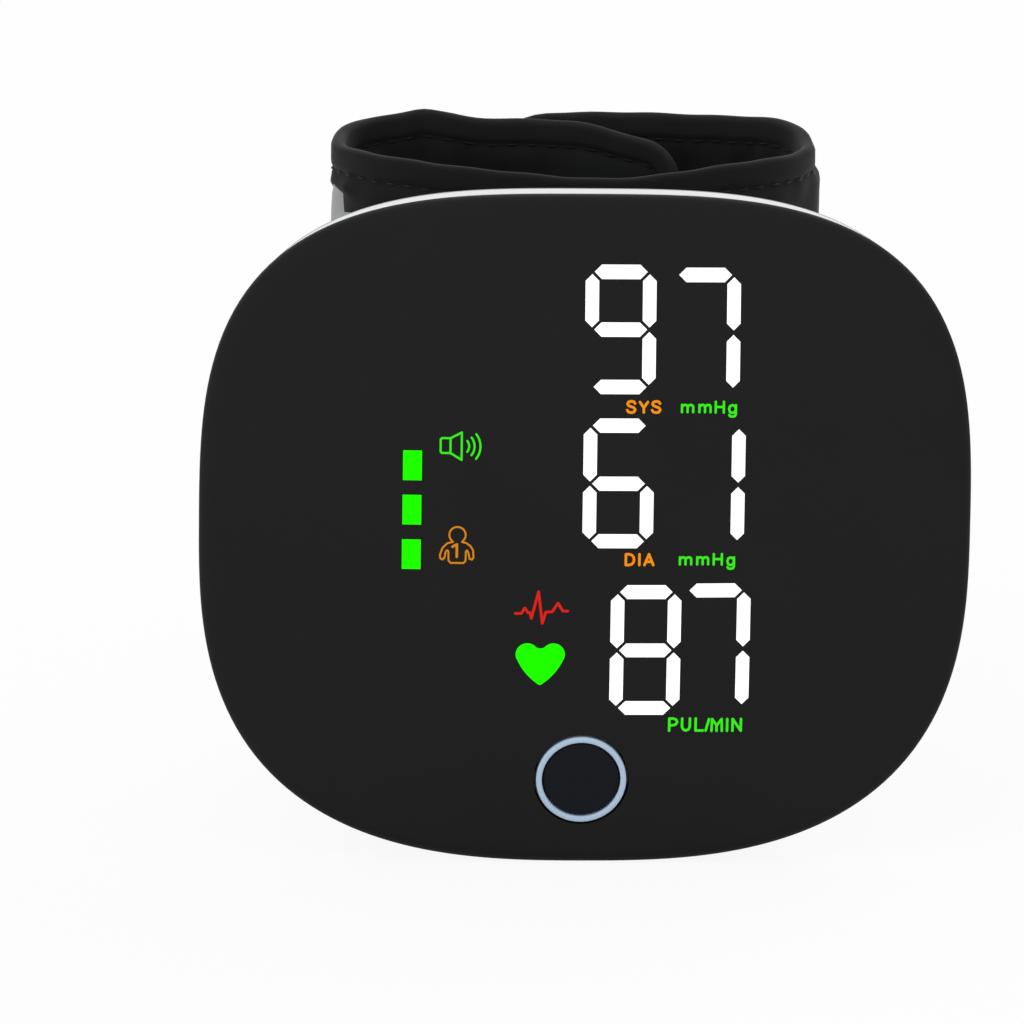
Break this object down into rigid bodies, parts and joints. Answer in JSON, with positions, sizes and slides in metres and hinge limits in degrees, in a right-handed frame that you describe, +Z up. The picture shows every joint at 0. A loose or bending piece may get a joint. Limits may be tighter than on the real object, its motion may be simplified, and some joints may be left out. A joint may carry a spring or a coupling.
{
  "type": "wrist blood pressure monitor",
  "caption": "Wrist blood pressure monitor: domed rounded-square face with a lit display and round button on a white case, and a fabric cuff that closes into a loop.",
  "frame": {"origin": "middle of the outline's underside, on the surface that the part stands on", "axes": "+X to the right seen from the face, +Y from the face to the cuff, +Z up"},
  "size_m": [0.086, 0.064, 0.076],
  "materials": {
    "panel_black": "smooth satin black",
    "case_white": "fine satin white",
    "ring_pale": "pale blue-grey, polished",
    "button_black": "smooth black",
    "inner_black": "matt black",
    "inner_white": "matt white",
    "board_green": "solder mask",
    "steel": "plain",
    "cell_foil": "foil",
    "rubber_grey": "matt",
    "tube_clear": "milky",
    "cuff_nylon": "smooth woven nylon",
    "cuff_lining": "soft brushed cloth",
    "hook_loop": "hook and loop"
  },
  "bodies": {
    "case": {"front_panel": "panel_black", "front_housing": "case_white", "rear_housing": "case_white", "button_ring": "ring_pale", "tact_switch": "inner_black", "display_module": "inner_white", "display_mask": "inner_black", "main_board": "board_green", "controller_chip": "inner_black", "pressure_sensor": "steel", "voice_speaker": "inner_black", "battery_pad": "rubber_grey", "battery_cell": "cell_foil", "usb_socket": "steel", "case_screw_1": "steel", "case_screw_2": "steel", "case_screw_3": "steel", "case_screw_4": "steel", "board_screw_1": "steel", "board_screw_2": "steel", "pump_motor": "steel", "pump_head": "inner_black", "pump_pad": "rubber_grey", "exhaust_valve": "steel", "air_manifold": "inner_white", "pump_tube": "tube_clear", "valve_tube": "tube_clear", "cuff_tube": "tube_clear", "sensor_gasket": "rubber_grey", "cuff_nozzle": "inner_white", "nozzle_seal": "rubber_grey", "cuff_plate": "inner_black", "cuff_cover_center": "cuff_nylon", "cuff_lining_center": "cuff_lining", "bladder_center": "rubber_grey"},
    "button": {"button_cap": "button_black", "switch_plunger": "inner_white"},
    "outer_wing": {"cuff_cover_right": "cuff_nylon", "cuff_lining_right": "cuff_lining", "bladder_right": "rubber_grey", "hook_pad": "hook_loop"},
    "inner_wing": {"cuff_cover_left": "cuff_nylon", "cuff_lining_left": "cuff_lining", "bladder_left": "rubber_grey", "loop_pad": "hook_loop"}
  },
  "joints": [
    {"name": "button_press", "type": "slide", "parent": "case", "child": "button", "axis": [0, 0.9938, 0.1111], "range_m": [0, 0.0005], "stiffness_N_per_m": 600},
    {"name": "outer_wing_swing", "type": "hinge", "parent": "case", "child": "outer_wing", "pos_m": [0.0269, 0.01325, 0.03725], "axis": [0, 0, -1], "range_deg": [0, 100]},
    {"name": "inner_wing_swing", "type": "hinge", "parent": "case", "child": "inner_wing", "pos_m": [-0.0269, 0.01325, 0.03725], "axis": [0, 0, 1], "range_deg": [0, 30]}
  ],
  "couplings": [
    {"joint": "inner_wing_swing", "follows": "outer_wing_swing", "ratio": 0.3}
  ]
}
